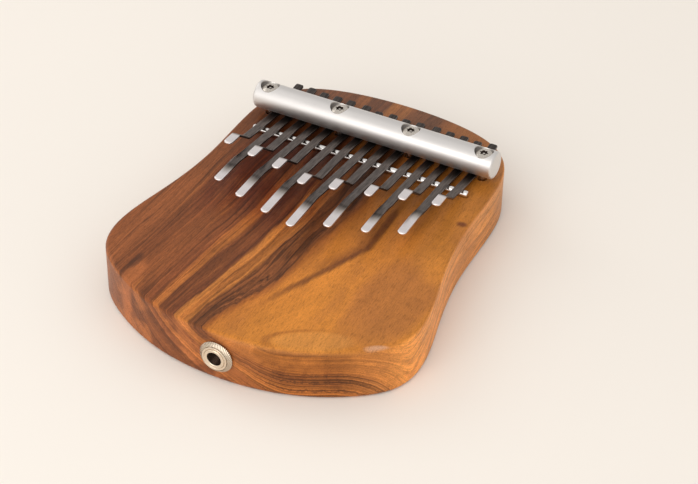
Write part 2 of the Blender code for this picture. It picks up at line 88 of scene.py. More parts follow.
# Pockets in the underside: lowest corner, highest corner, ceiling and corner radius
CAVITY = ((-20.0, -82.3), (20.0, -14.0), 20.5, 4.0)
COVER_POCKET = ((-27.3, -84.1), (27.3, -12.2), 2.3, 4.3)
JACK_HOLE_R = 5.0
CLAMP_HOLE_R = 2.25
COVER_HOLE_R = 1.8
COVER_CORNER = 4.0

TINE_W = 4.0
TINE_T = 1.0
TINE_EDGE = 0.28              # rounding of the strip's long edges
TIP_CORNER = 1.5
REAR_CORNER = 0.9
TIP_DROP = 0.34               # filed slope at the very tip
FILED = 0.8                   # and its length
END_PINCH = 0.18              # rounding of the strip's ends
BLEND = 0.35                  # air between a tine and the bridges it crosses
BAR_AIR = 0.50                # and under the bar, so that its bend can move there for tuning
# (how far the tip reaches past the front bridge, height of the tip above the board)
TINES = (
    (31.3, 14.2), (52.6, 10.3), (35.1, 14.7), (58.6, 10.5), (38.3, 15.0),
    (63.4, 10.7), (43.3, 15.2), (66.7, 10.7), (40.5, 15.4), (59.0, 10.2),
    (36.4, 14.6), (53.1, 8.8), (31.7, 14.3), (46.0, 8.0), (27.1, 13.2),
)
# Length of the bright ground tip of each long tine
GROUND = {2: 8.5, 4: 11.5, 6: 15.0, 8: 14.5, 10: 12.0, 12: 9.5, 14: 14.5}
SHORT_TIP = 8.3
CRANK_RUNS = (8.8, 8.8, 8.8, 8.8, 8.8, 8.4, 7.8, 7.3)     # of the cranked tines, from the left
CRANK_FOOT = 6.5
PAD_RISE = 0.7
LONG_KNEE = 0.53              # place of the bend of the long tines, as a share of their reach
LONG_KNEE_RUN = 8.0
LONG_KNEE_RISE = 1.5
LONG_RISE = 0.3

BAR_ROUND = 1.3
LOBES = 6
LOBE_R = 1.70
LOBE_DEPTH = 0.28
RECESS_DEPTH = 0.8
SCREW_DOME = 0.8
THREAD_PITCH = 1.3

NUT_TEETH = 54
NUT_SLANT = 0.55              # turn of the nut's teeth, in radians per millimetre down the flank
NUT_FLANK_STEPS = 8
TOOTH_STEPS = 8
TOOTH_DEPTH = 0.34

SHARP = 30.0                  # edges that turn by more than this stay crisp, in degrees
FLEX = 12.0                   # length over which a plucked tine bends
PATH_STEP = 1.6               # longest step along a tine
LIP = 1.0                     # how far a cutter reaches past the faces it opens


def box_mm(node):
    """(lowest corner, highest corner) of a frame node, in millimetres."""
    low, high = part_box(node)
    return low / MM, high / MM


def middle_mm(node):
    """Centre of a frame node's box, in millimetres."""
    return tuple((a + b) / 2 for a, b in zip(*box_mm(node)))


board_low, board_high = box_mm("board")
bar_low, bar_high = box_mm("pressure_bar")
BOARD_T = board_high.z
BAR_Y, BAR_Z = middle_mm("pressure_bar")[1:]
BAR_R = (bar_high.z - bar_low.z) / 2
FRONT_Y = board_low.y


# ---- mesh helpers
def add_object(name, data):
    obj = bpy.data.objects.new(name, data)
    bpy.context.collection.objects.link(obj)
    return obj


def add_piece(name, verts, faces, look, sharp=SHARP):
    """Make a closed, smooth-shaded mesh object from points in millimetres."""
    mesh = bpy.data.meshes.new(name)
    mesh.from_pydata([tuple(c * MM for c in v) for v in verts], [], faces)
    bm = bmesh.new()
    bm.from_mesh(mesh)
    bmesh.ops.recalc_face_normals(bm, faces=bm.faces[:])
    bm.to_mesh(mesh)
    bm.free()
    mesh.materials.append(look)
    soften(mesh, sharp)
    return add_object(name, mesh)


def soften(mesh, sharp=SHARP):
    """Shade smoothly, apart from edges sharper than an angle in degrees."""
    mesh.shade_smooth()
    mesh.set_sharp_from_angle(angle=math.radians(sharp))


def loft(rings, ends=True):
    """Join equal rings of points into one skin, with an n-gon on each end or the ends joined."""
    count = len(rings[0])
    verts = [p for ring in rings for p in ring]
    faces = []
    for k in range(len(rings) - 1):
        a, b = k * count, (k + 1) * count
        for i in range(count):
            j = (i + 1) % count
            faces.append((a + i, a + j, b + j, b + i))
    last = (len(rings) - 1) * count
    if ends:
        faces.append(tuple(range(count - 1, -1, -1)))
        faces.append(tuple(last + i for i in range(count)))
    else:
        for i in range(count):
            j = (i + 1) % count
            faces.append((last + i, last + j, j, i))
    return verts, faces


def circle(centre, axis, along, radius, segments):
    """A ring about X, Y or Z through centre; radius may be a function of the angle."""
    points = []
    for i in range(segments):
        angle = 2 * math.pi * i / segments
        r = radius(angle) if callable(radius) else radius
        u, v = r * math.cos(angle), r * math.sin(angle)
        offset = {"x": (along, u, v), "y": (u, along, v), "z": (u, v, along)}[axis]
        points.append(tuple(c + o for c, o in zip(centre, offset)))
    return points


def turned(centre, axis, profile, segments, ends=True):
    """Skin of a lathed profile of (radius, distance along the axis)."""
    rings = [circle(centre, axis, along, radius, segments) for radius, along in profile]
    return loft(rings, ends)


def arc(centre, radius, start, end, steps):
    """Points of (radius, along) on an arc of a profile, angles in degrees."""
    points = []
    for k in range(steps + 1):
        angle = math.radians(start + (end - start) * k / steps)
        points.append((centre[0] + radius * math.cos(angle), centre[1] + radius * math.sin(angle)))
    return points


def rounded_box(low, high, radius, steps=6):
    """Lower and upper ring of a box whose upright edges are rounded."""
    ring = []
    corners = (
        (high[0], high[1], 0), (low[0], high[1], 90), (low[0], low[1], 180), (high[0], low[1], 270),
    )
    for x, y, start in corners:
        cx = x - math.copysign(radius, x - (low[0] + high[0]) / 2)
        cy = y - math.copysign(radius, y - (low[1] + high[1]) / 2)
        ring += arc((cx, cy), radius, start, start + 90, steps)
    return [[(x, y, z) for x, y in ring] for z in (low[2], high[2])]


def carve(target, cutters):
    """Cut each (verts, faces) skin out of target, and keep only the result."""
    tools = []
    for index, (verts, faces) in enumerate(cutters):
        tool = add_piece(f"cutter_{index}", verts, faces, target.data.materials[0])
        modifier = target.modifiers.new(tool.name, "BOOLEAN")
        modifier.operation = "DIFFERENCE"
        modifier.solver = "EXACT"
        modifier.object = tool
        tools.append(tool)
    graph = bpy.context.evaluated_depsgraph_get()
    carved = bpy.data.meshes.new_from_object(target.evaluated_get(graph))
    target.modifiers.clear()
    target.data = carved
    for tool in tools:
        bpy.data.objects.remove(tool)
    soften(carved)


def mark(obj, name, values):
    """Give each vertex a number that the piece's material reads."""
    obj.data.attributes.new(name, "FLOAT", "POINT").data.foreach_set("value", values)


def shade_recess(obj, rings, segments):
    """Mark how much painted shade each ring of a turned piece gets inside a hole, for its material.
    """
    mark(obj, "recess", [value for value in rings for _ in range(segments)])


def install(obj, node):
    """Let a fine piece ride on the root body and stand for its frame node."""
    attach(obj, "root")
    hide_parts(node)


# ---- material helpers
def srgb(red, green, blue):
    """Linear colour of an 8-bit display colour."""
    linear = []
    for value in (red, green, blue):
        c = value / 255
        linear.append(c / 12.92 if c <= 0.04045 else ((c + 0.055) / 1.055) ** 2.4)
    return (*linear, 1.0)


class Signal:
    """A value in a material that plain arithmetic can be written with."""

    def __init__(self, look, socket):
        self.look = look
        self.socket = socket

    def __add__(self, other):
        return self.look.calc("ADD", self, other)

    def __sub__(self, other):
        return self.look.calc("SUBTRACT", self, other)

    def __mul__(self, other):
        return self.look.calc("MULTIPLY", self, other)

    def __pow__(self, other):
        return self.look.calc("POWER", self, other)


class Look:
    """A material around one Principled shader, with short names for its nodes."""

    def __init__(self, name, **sockets):
        self.material = bpy.data.materials.new(name)
        self.material.use_nodes = True
        self.tree = self.material.node_tree
        self.shader = self.tree.nodes["Principled BSDF"]
        for label, value in sockets.items():
            self.shader.inputs[label.replace("_", " ")].default_value = value
        place = self.node("ShaderNodeTexCoord").outputs["Object"]
        self.place = self.scaled(place, (1 / MM,) * 3)

    def node(self, kind, inputs=None, **settings):
        made = self.tree.nodes.new(kind)
        for name, value in settings.items():
            setattr(made, name, value)
        for key, value in (inputs or {}).items():
            self.feed(made.inputs[key], value)
        return made

    def feed(self, socket, value):
        if isinstance(value, Signal):
            value = value.socket
        if isinstance(value, bpy.types.NodeSocket):
            self.tree.links.new(value, socket)
        else:
            socket.default_value = value

    def scaled(self, vector, factors):
        made = self.node("ShaderNodeVectorMath", {0: vector, 1: factors}, operation="MULTIPLY")
        return made.outputs[0]

    def calc(self, operation, *values):
        made = self.node("ShaderNodeMath", dict(enumerate(values)), operation=operation)
        return Signal(self, made.outputs[0])

    def axes(self):
        """X, Y and Z of the shaded point in millimetres."""
        made = self.node("ShaderNodeSeparateXYZ", {0: self.place})
        return [Signal(self, socket) for socket in made.outputs]

    def facing(self):
        """How far the surface faces up: 1 for a flat top, 0 for an upright side, -1 below."""
        normal = self.node("ShaderNodeTexCoord").outputs["Normal"]
        return Signal(self, self.node("ShaderNodeSeparateXYZ", {0: normal}).outputs[2])

    def point(self, x, y, z):
        return self.node("ShaderNodeCombineXYZ", {0: x, 1: y, 2: z}).outputs[0]

    def noise(self, frequency, detail=2.0, rough=0.5, vector=None):
        """Noise from 0 to 1, with so many features per millimetre along X, Y and Z."""
        vector = self.scaled(vector or self.place, frequency)
        inputs = {"Vector": vector, "Detail": detail, "Roughness": rough, "Scale": 1.0}
        return Signal(self, self.node("ShaderNodeTexNoise", inputs).outputs["Fac"])

    def step(self, signal, low, high):
        """0 below low and 1 above high, with a smooth rise between them."""
        inputs = {"Value": signal, "From Min": low, "From Max": high}
        made = self.node("ShaderNodeMapRange", inputs, interpolation_type="SMOOTHSTEP")
        return Signal(self, made.outputs["Result"])

    def near(self, signal, far, close):
        """1 while a signal is within close of 0, and 0 from far on, with a smooth fall."""
        return self.step(self.calc("ABSOLUTE", signal), far, close)

    def ramp(self, signal, stops):
        """Colour of a signal, from stops of (position, colour)."""
        made = self.node("ShaderNodeValToRGB", {0: signal})
        marks = made.color_ramp.elements
        while len(marks) < len(stops):
            marks.new(1.0)
        for mark, (position, colour) in zip(marks, stops):
            mark.position = position
            mark.color = colour
        return made.outputs["Color"]

    def mix(self, factor, a, b, blend="MIX"):
        """The first colour at factor 0 and the second at 1."""
        inputs = {0: factor, 6: a, 7: b}
        made = self.node("ShaderNodeMix", inputs, data_type="RGBA", blend_type=blend)
        return made.outputs[2]

    def shade(self, colour, factor):
        """A colour made lighter or darker by a signal."""
        if isinstance(colour, tuple):
            colour = colour[:3]
        made = self.node("ShaderNodeVectorMath", {0: colour, "Scale": factor}, operation="SCALE")
        return made.outputs[0]

    def attribute(self, name):
        return Signal(self, self.node("ShaderNodeAttribute", attribute_name=name).outputs["Fac"])

    def bump(self, height, depth):
        """Relief of the given depth in millimetres where height goes from 0 to 1."""
        made = self.node("ShaderNodeBump", {"Height": height, "Distance": depth * MM})
        self.feed(self.shader.inputs["Normal"], made.outputs["Normal"])

    def finish(self, colour, roughness=None):
        self.feed(self.shader.inputs["Base Color"], colour)
        if roughness is not None:
            self.feed(self.shader.inputs["Roughness"], roughness)
        return self.material


# ---- wood
PITH_X = 30.0                 # the pith runs above the board, over this place
PITH_HEIGHT = 57.6            # and this far above the top face
BEND_Y = -10.0                # where the trunk starts to lean towards the player's end
# Colour of the wood at each distance from the pith, in millimetres
RING_COLOURS = (
    (46.0, (204, 130, 50)), (54.0, (198, 124, 46)), (58.3, (190, 116, 44)), (59.7, (162, 92, 36)),
    (60.3, (114, 65, 33)), (64.4, (122, 70, 35)), (65.2, (186, 114, 50)), (67.2, (178, 106, 46)),
    (69.2, (190, 118, 52)), (70.0, (114, 61, 32)), (72.6, (130, 72, 36)), (75.4, (106, 57, 28)),
    (76.3, (176, 104, 46)), (78.8, (170, 98, 44)), (79.8, (124, 67, 34)), (88.0, (142, 80, 40)),
    (97.0, (124, 68, 34)), (106.0, (144, 82, 42)), (126.0, (126, 68, 34)),
)
SEAM_X = 31.0                 # the dark line right of the middle, straight down to the bend
SEAM_BEND_Y = -12.0
SEAM_SLANT = 0.42             # how far it runs left for each millimetre past the bend
# Patches of the top face: centre and half lengths
HEART = ((33.0, -48.0), (26.0, 40.0))
DULL = ((55.0, -42.0), (20.0, 36.0))
ORANGE = ((-48.5, -73.0), (5.0, 12.0))
BURN = ((-52.0, -65.5), (2.6, 7.0))
WAIST = ((53.0, 10.0), (16.0, 19.0))
# Painted highlight: a pale reflection painted on the top near the front right edge
PAINTED_HIGHLIGHT = ((0.0, 0.0), (9.0, 2.6))          # on its own slanted axes
OVAL = (38.5, -75.6, 19.0, 7.0, 27.0)     # pale patch: centre, half lengths and turn in degrees
KNOT_X = 60.0
KNOT_BEHIND_BAR = -35.0       # from the bar's axis, towards the player


class Wood(Look):
    """Oiled wood cut beside the pith: rings about a line that runs above the board."""

    def __init__(self):
        super().__init__(
            "oiled_walnut", Specular_IOR_Level=0.20, Coat_Weight=0.04, Coat_Roughness=0.30)
        x, y, z = self.axes()
        self.x, self.y = x, y
        self.below = z * -1.0 + BOARD_T
        self.right = self.step(x, 0.0, 34.0)
        self.front = self.step(y, -52.0, -80.0)
        self.slow = self.noise((0.020, 0.007, 0.020)) - 0.5
        self.middle = self.noise((0.11, 0.016, 0.11)) - 0.5
        self.fine = self.noise((0.60, 0.034, 0.60)) - 0.5
        self.cloud = self.noise((0.050, 0.030, 0.050), detail=3.0) - 0.5
        self.ragged = self.cloud * 1.1 + self.middle * 0.4
        self.ring = self.ring_distance()
        self.brown = self.step(self.ring, 58.5, 61.0)
        self.bundle = self.step(self.ring, 59.6, 60.6) * self.step(self.ring, 65.4, 64.4)
        self.along = self.point(self.ring, y, z)
        self.lines = self.noise((2.2, 0.018, 0.016), detail=3.0, rough=0.7, vector=self.along)
        self.upward = self.facing()
        self.flank = self.step(self.calc("ABSOLUTE", self.upward), 0.92, 0.40)
        self.top = self.step(self.upward, 0.70, 0.97)

    def ring_distance(self):
        """Distance from the pith in millimetres, moved about by the wander of the grain."""
        x, y = self.x, self.y
        sway = self.near(y + 48.0, 34.0, 0.0) * self.step(x, -24.0, 8.0) * 4.6
        sway = sway - self.near(y + 7.0, 20.0, 2.0) * self.step(x, -4.0, 10.0) * 2.6
        side = x - sway - PITH_X
        across = self.calc("MINIMUM", side, 0.0) + self.calc("MAXIMUM", side, 0.0) * 0.18
        lean = y - BEND_Y
        trunk = self.calc("SMOOTH_MIN", lean * 0.11, lean * 0.012, 1.5)
        depth = self.below * (self.right * (self.front * 0.50 + -0.85) + 1.15)
        depth = trunk + PITH_HEIGHT + depth
        ring = (across ** 2.0 + depth ** 2.0) ** 0.5
        # Beside the pith the rings lie flat in the face, and there the grain wanders less
        steep = self.step(across * -1.0, 4.0, 26.0) * 0.85 + 0.15
        wander = self.slow * 3.0 + self.middle * 2.6 + self.fine * 1.6
        ring = ring + self.slow * 2.2 + wander * steep
        return ring + self.step(x, 42.0, 62.0) * (self.front * 6.0 + -6.0)

    def patch(self, x, y, place, rough=None):
        """1 in the middle of an oval patch and 0 outside it, with a ragged edge."""
        centre, reach = place
        u, v = (x - centre[0]) * (1 / reach[0]), (y - centre[1]) * (1 / reach[1])
        ragged = self.ragged * rough if rough else self.ragged
        return self.step(u ** 2.0 + v ** 2.0 + ragged, 1.0, 0.1)

    def stain(self, share, *tint):
        """Mix in a share of another colour, given as 8-bit red, green and blue."""
        self.colour = self.mix(share, self.colour, srgb(*tint))

    def tone(self, factor):
        """Make the colour lighter or darker."""
        self.colour = self.shade(self.colour, factor)


# Layers of the wood, from the rings to the oil; w is the Wood that they colour
def paint_rings(w):
    first, last = RING_COLOURS[0][0], RING_COLOURS[-1][0]
    span = last - first
    stops = [((distance - first) / span, srgb(*colour)) for distance, colour in RING_COLOURS]
    w.colour = w.ramp((w.ring - first) * (1 / span), stops)


def add_flanks(w):
    """Flanks cut the grain at a slant and show its colours softer."""
    light = w.step(w.middle * 1.2 + w.cloud, -0.14, 0.14)
    dark = w.step(w.cloud + w.middle, 0.12, -0.10)
    left = w.mix(light, srgb(130, 74, 42), srgb(198, 119, 64))
    player = w.mix(dark, srgb(152, 88, 38), srgb(118, 64, 28))
    calm = w.mix(w.right, left, w.mix(w.front, srgb(242, 162, 86), player))
    share = w.flank * (w.right * w.front * 0.22 + 0.52)
    w.colour = w.mix(share, w.colour, calm)


def add_lines(w):
    """Fine lines and streaks along the grain."""
    contrast = w.brown * 0.54 + w.bundle * 0.60
    contrast = contrast + w.flank * w.right * (w.front * 0.25 + 0.35) + 0.12
    w.tone((w.step(w.lines, 0.28, 0.74) - 0.5) * contrast + 1.0)
    streaks = w.noise((0.9, 0.016, 0.012), detail=1.5, vector=w.along)
    w.tone(w.step(streaks, 0.54, 0.70) * w.brown * -0.46 + 1.0)
    w.stain(w.step(streaks, 0.36, 0.24) * w.brown * 0.42, 184, 110, 52)


def add_threads(w):
    """Thin dark lines round the front, under the soft edge, and brown veins at the right."""
    phase = w.ring * 0.29 + w.fine * 0.9 + w.slow * 2.0
    thread = w.near(w.calc("FRACT", phase) - 0.5, 0.17, 0.03)
    thread = thread * w.step(w.ring, 58.6, 60.2) * w.step(w.slow + w.cloud, -0.25, 0.05)
    thread = thread * w.flank * w.right * w.front * 0.62
    w.stain(thread, 70, 40, 22)
    phase = w.ring * 0.52 + w.middle * 1.6 + w.slow * 2.0
    vein = w.near(w.calc("FRACT", phase) - 0.5, 0.24, 0.04)
    vein = vein * w.flank * w.right * (w.front * -0.42 + 0.42)
    w.stain(vein, 150, 88, 42)


def add_seam(w):
    """The dark line right of the middle, with a brown shadow on its left."""
    y = w.y
    bend = w.calc("MINIMUM", (y - SEAM_BEND_Y) * SEAM_SLANT, 0.0)
    off = w.x - (bend + SEAM_X + (w.middle + w.fine) * 2.6)
    there = w.step(y, 26.0, 12.0) * w.step(y, -74.0, -44.0)
    core = w.near(off, 2.8, 0.2) * w.step(w.lines, 0.22, 0.46)
    shadow = w.step(off, -9.5, -0.5) * w.step(off, 1.2, -0.4) * w.step(y, -48.0, -24.0)
    grainy = w.step(w.fine + w.middle, -0.16, 0.12)
    w.stain(core * there * 0.78, 92, 50, 24)
    w.stain(shadow * there * (grainy * 0.5 + 0.25), 106, 58, 28)


def add_patches(w):
    """Bright heart, dull right, pale oval, marks at the left, and a painted highlight near the
    front right edge.
    """
    x, y = w.x, w.y
    heart = w.patch(x, y, HEART) * (w.brown * -1.0 + 1.0)
    w.tone(heart * 0.12 + 0.95)
    w.stain(w.patch(x, y, DULL, 1.4) * 0.58, 146, 88, 48)
    add_oval(w)
    w.stain(w.step(x + w.middle * 8.0, -52.0, -66.0) * 0.20, 150, 86, 48)
    w.stain(w.patch(x, y, ORANGE) * 0.60, 182, 106, 56)
    w.stain(w.patch(x, y, BURN) * 0.60, 66, 38, 24)
    # Painted highlight: a pale reflection on the upward faces near the front right edge, on slanted
    # axes
    slant_x = x + (y + 66.0) * 0.6 - 64.0
    slant_y = y - (x - 64.0) * 0.55 + 66.5
    painted_highlight = w.patch(slant_x, slant_y, PAINTED_HIGHLIGHT, 0.6)
    painted_highlight = painted_highlight * w.step(w.upward, 0.55, 0.90) * 0.34
    w.stain(painted_highlight, 222, 190, 170)


def add_oval(w):
    """Pale oval at the player's end, with a dark rim at its left."""
    centre_x, centre_y, long_reach, short_reach, degrees = OVAL
    turn = math.radians(degrees)
    across, up = w.x - centre_x, w.y - centre_y
    u = across * math.cos(turn) + up * math.sin(turn)
    v = up * math.cos(turn) - across * math.sin(turn)
    oval = (u * (1 / long_reach)) ** 2.0 + (v * (1 / short_reach)) ** 2.0 + w.cloud * 0.5
    rim = w.step(oval, 0.60, 0.98) * w.step(oval, 1.45, 1.02) * w.step(u, 16.0, -14.0)
    w.stain(rim * w.top * 0.42, 118, 64, 28)
    w.stain(w.step(oval, 1.0, 0.40) * w.top * 0.34, 214, 150, 78)


def add_zones(w):
    """Broad darker and lighter zones: painted shade under the tines and round the bar, the waist,
    and painted light on the flanks.
    """
    x, y = w.x, w.y
    # Dark red under the tines: partly the wood's own dark figure, partly painted shade of the tines
    # and the bar
    shaded = w.step(y + w.cloud * 26.0, -34.0, 8.0) * w.step(x + w.cloud * 20.0, 18.0, -4.0)
    shaded = shaded * w.step(x, -56.0, -48.0) * w.step(y, 60.0, 38.0) * (w.bundle * -0.6 + 1.0)
    swirl = w.noise((0.10, 0.040, 0.10), detail=3.0, rough=0.6)
    shaded = shaded * (w.step(swirl, 0.34, 0.60) * 0.62 + 0.42)
    red = w.mix(1.0, w.colour, srgb(200, 164, 156), blend="MULTIPLY")
    w.colour = w.mix(shaded, w.colour, red)
    # Painted shade of the bar: the top darker towards the bar and under it
    rear = w.step(y, -26.0, 26.0) * -0.14 + w.step(y, 20.0, 56.0) * -0.22
    w.tone(rear + 1.0)
    # Painted shade between the tines, in front of the bar
    between = w.near(y - 32.0, 16.0, 5.0) * w.near(x - 8.0, 40.0, 24.0)
    w.tone(between * -0.16 + 1.0)
    waist = w.patch(x, y, WAIST)
    beside_bar = w.step(y, 20.0, 34.0) * w.step(x, 42.0, 52.0)
    w.tone(waist * -0.09 + beside_bar * 0.10 + 1.0)
    # Painted shade: the top darker at the front right corner, against the light of the low lamp on
    # the wide edge
    corner = w.step(y, -62.0, -84.0) * w.step(x, 6.0, 30.0) * w.top
    w.tone(corner * -0.08 + 1.0)
    # Painted light: the right flanks lighter, less so at the player's end
    w.tone(w.flank * w.right * (w.front * -0.20 + 0.28) + 1.0)
    behind = w.step(y, BAR_Y - 2.0, BAR_Y + 8.0) * w.top
    w.stain(behind * 0.26, 150, 112, 92)


def oiled(w):
    """Mottle, pores and flecks, the knot, and the relief and gloss that go with them."""
    mottle = w.noise((0.07, 0.05, 0.07), detail=4.0, rough=0.65)
    brush = w.noise((0.34, 0.030, 0.34), detail=4.0, rough=0.65)
    tan = w.step(w.cloud + w.middle * 0.5, -0.02, 0.22) * (w.brown * -1.0 + 1.0)
    w.stain(tan * 0.30, 150, 92, 50)
    w.tone(mottle * 0.64 + brush * 0.48 + 0.44)
    pores = w.noise((2.0, 0.26, 2.0), detail=3.0, rough=0.6)
    pore = w.step(pores, 0.48, 0.70)
    w.tone(pore * -0.32 + 1.06)
    flecks = w.noise((2.4, 1.0, 2.4))
    w.tone(w.step(flecks, 0.25, 0.75) * 0.22 + 0.89)

    knot_x, knot_y = w.x - KNOT_X, w.y - (BAR_Y + KNOT_BEHIND_BAR)
    knot = knot_x ** 2.0 * 0.16 + knot_y ** 2.0 * 0.36 + w.below ** 2.0 * 0.05
    knot = w.step(knot + w.fine * 0.8, 1.8, 0.0)
    w.stain(knot * 0.75, 92, 38, 24)
    w.bump(pore * -0.7 + w.lines * 0.3, 0.030)
    return w.finish(w.colour, pore * 0.14 + mottle * 0.14 + 0.34)


def wood_look():
    wood = Wood()
    paint_rings(wood)
    add_flanks(wood)
    add_lines(wood)
    add_threads(wood)
    add_seam(wood)
    add_patches(wood)
    add_zones(wood)
    return oiled(wood)


# ---- metals and plastics
def steel_strip_look():
    """Dark rolled spring steel with fine lengthwise lines, ground bright on the playing tip."""
    look = Look("spring_steel", Metallic=1.0)
    lines = look.noise((1.3, 0.030, 1.3), detail=4.0, rough=0.65)
    blotch = look.noise((0.22, 0.07, 0.22), detail=3.0)
    scratch = look.noise((2.4, 1.2, 2.4))
    tone = look.step(lines, 0.28, 0.72) * 0.78 + blotch * 0.55 + 0.30
    dark = look.shade(srgb(104, 96, 92), tone)
    y = look.axes()[1]
    # Painted shade of the bar: the strip darker towards the bar and under it
    dark = look.shade(dark, look.step(y, BAR_Y - 17.0, BAR_Y - 4.0) * -0.44 + 1.0)
    bright = look.shade(srgb(236, 230, 230), scratch * 0.16 + 0.92)
    warm = look.mix(blotch, srgb(146, 138, 132), srgb(186, 177, 168))
    edge = look.attribute("edge")
    dark = look.mix(edge * look.step(lines, 0.35, 0.65) * 0.5, dark, srgb(190, 184, 180))
    ground = look.attribute("ground") + (blotch - 0.5) * 0.25
    spot = look.step(ground, 0.0, 0.10) * look.step(ground, 0.34, 0.14)
    dark = look.shade(dark, spot * -0.35 + 1.0)
    halo = look.step(ground, 0.14, 0.56)
    core = look.step(ground, 0.30, 0.92)
    colour = look.mix(core, look.mix(halo, dark, warm), bright)
    look.bump(lines * 0.6 + scratch * 0.4, 0.006)
    return look.finish(colour, lines * 0.16 + core * -0.04 + 0.28)


def bar_seat_shade(look):
    """Mask of painted shade: highest in the bar's countersinks and 0 on its round face and its
    ends.
    """
    x, y, z = look.axes()
    radius = ((y - BAR_Y) ** 2.0 + (z - BAR_Z) ** 2.0) ** 0.5
    along = look.near(x, bar_high.x - 0.7, bar_high.x - 1.3)
    return look.step(radius, BAR_R - 0.05, BAR_R - 0.9) * along * 0.66


def metal_look(
    name, colour, roughness, frequency, contrast, grain=0.004, spread=0.12, inside=None,
):
    """Plain metal with machining lines and faint handling marks, darkened by painted shade inside a
    recess.
    """
    look = Look(name, Metallic=1.0)
    lines = look.noise(frequency, detail=3.0, rough=0.6)
    marks = look.noise((0.16, 0.16, 0.16), detail=4.0, rough=0.6)
    tone = look.shade(srgb(*colour), lines * contrast + marks * contrast + (1.0 - contrast))
    # Painted shade in recesses, grooves and countersinks: a dark colour mixed in
    recess = inside(look) if inside else look.attribute("recess")
    tone = look.mix(recess, tone, srgb(52, 40, 32))
    look.bump(lines, grain)
    return look.finish(tone, lines * spread + marks * spread + (roughness - spread))


def plain_look(name, colour, tint, roughness, frequency, contrast, grain):
    """Moulded or sheathed material: fine grain in tone, gloss and relief."""
    look = Look(name)
    fine = look.noise((frequency,) * 3, detail=3.0, rough=0.6)
    broad = look.noise((frequency * 0.06,) * 3, detail=3.0)
    tone = look.mix(broad, srgb(*colour), srgb(*tint))
    tone = look.shade(tone, fine * contrast + (1.0 - contrast / 2))
    look.bump(fine, grain)
    return look.finish(tone, fine * 0.16 + broad * 0.12 + (roughness - 0.14))


# Colour, roughness, lines per millimetre along X, Y and Z, contrast, relief, spread of gloss and
# mask of painted shade
METALS = {
    "satin_aluminium": ((221, 218, 216), 0.45, (0.05, 5.0, 5.0), 0.05, 0.004, 0.12, bar_seat_shade),
    "screw_steel": ((206, 199, 190), 0.26, (1.4, 1.4, 4.0), 0.16),
    "polished_steel": ((232, 230, 228), 0.16, (6.0, 0.3, 0.3), 0.08, 0.002, 0.06),
    "nickel_plate": ((230, 214, 192), 0.26, (1.2, 4.0, 1.2), 0.08),
    "brass_sheet": ((214, 176, 98), 0.36, (0.2, 4.0, 4.0), 0.14),
}
# Two colours, roughness, grains per millimetre, contrast and relief
PLAIN = {
    "black_plastic": ((30, 30, 32), (38, 37, 37), 0.52, 3.0, 0.30, 0.02),
    "piezo_ceramic": ((226, 222, 208), (208, 204, 190), 0.50, 2.0, 0.10, 0.01),
    "red_insulation": ((168, 24, 20), (140, 18, 16), 0.46, 2.5, 0.16, 0.01),
    "black_insulation": ((26, 26, 28), (34, 33, 34), 0.46, 2.5, 0.20, 0.01),
}


def make_looks():
    """Every material by the name of its slot."""
    made = {"oiled_walnut": wood_look(), "spring_steel": steel_strip_look()}
    made.update({name: metal_look(name, *settings) for name, settings in METALS.items()})
    made.update({name: plain_look(name, *settings) for name, settings in PLAIN.items()})
    return made


# ---- board
def outline():
    """Closed B-spline outline as (point, outward normal) pairs."""
    right = list(OUTLINE_CONTROL)
    ring = right + [(-x, y) for x, y in reversed(right[1:-1])]
    count = len(ring)
    samples = []
    for k in range(count):
        p = [ring[(k + i) % count] for i in range(4)]
        for s in range(OUTLINE_STEPS):
            t = s / OUTLINE_STEPS
            w = ((1 - t) ** 3, 3 * t**3 - 6 * t**2 + 4, -3 * t**3 + 3 * t**2 + 3 * t + 1, t**3)
            d = (-((1 - t) ** 2), 3 * t**2 - 4 * t, -3 * t**2 + 2 * t + 1, t**2)
            x, y = (sum(w[i] * p[i][c] for i in range(4)) / 6 for c in (0, 1))
            dx, dy = (sum(d[i] * p[i][c] for i in range(4)) for c in (0, 1))
            length = math.hypot(dx, dy)
            samples.append(((x, y), (-dy / length, dx / length)))
    return samples


def smooth_share(value, low, high):
    """0 before low and 1 past high, with a smooth rise between them."""
    share = max(0.0, min(1.0, (value - low) / (high - low)))
    return share * share * (3 - 2 * share)


def top_round(x, y):
    """Radius of the board's top edge at a place on the outline."""
    wide = smooth_share(x, *ROUND_X) * smooth_share(y, *ROUND_Y)
    return CRISP_ROUND + (FRONT_ROUND - CRISP_ROUND) * wide


def board_rings():
    """The outline, from the underside round the bottom edge, up the side and round the top edge."""
    samples = outline()
    bottom = [(BOTTOM_ROUND + SUPPORT, 0.0)]
    bottom += arc((BOTTOM_ROUND, BOTTOM_ROUND), BOTTOM_ROUND, -90, -180, 6)
    bottom += [(0.0, BOTTOM_ROUND + SUPPORT)]
    rings = []
    for inset, z in bottom:
        rings.append([(p[0] - n[0] * inset, p[1] - n[1] * inset, z) for p, n in samples])
    # (share of the edge radius inwards and up, flat margin inwards and down)
    top = [(0.0, -1.0, 0.0, SUPPORT)]
    top += [(1 + inset, rise - 1, 0.0, 0.0) for inset, rise in arc((0, 0), 1.0, 180, 90, 12)]
    top += [(1.0, 0.0, SUPPORT, 0.0)]
    for inwards, rise, margin, drop in top:
        ring = []
        for p, n in samples:
            radius = top_round(*p)
            inset = inwards * radius + margin
            z = BOARD_T + rise * radius - drop
            ring.append((p[0] - n[0] * inset, p[1] - n[1] * inset, z))
        rings.append(ring)
    return rings


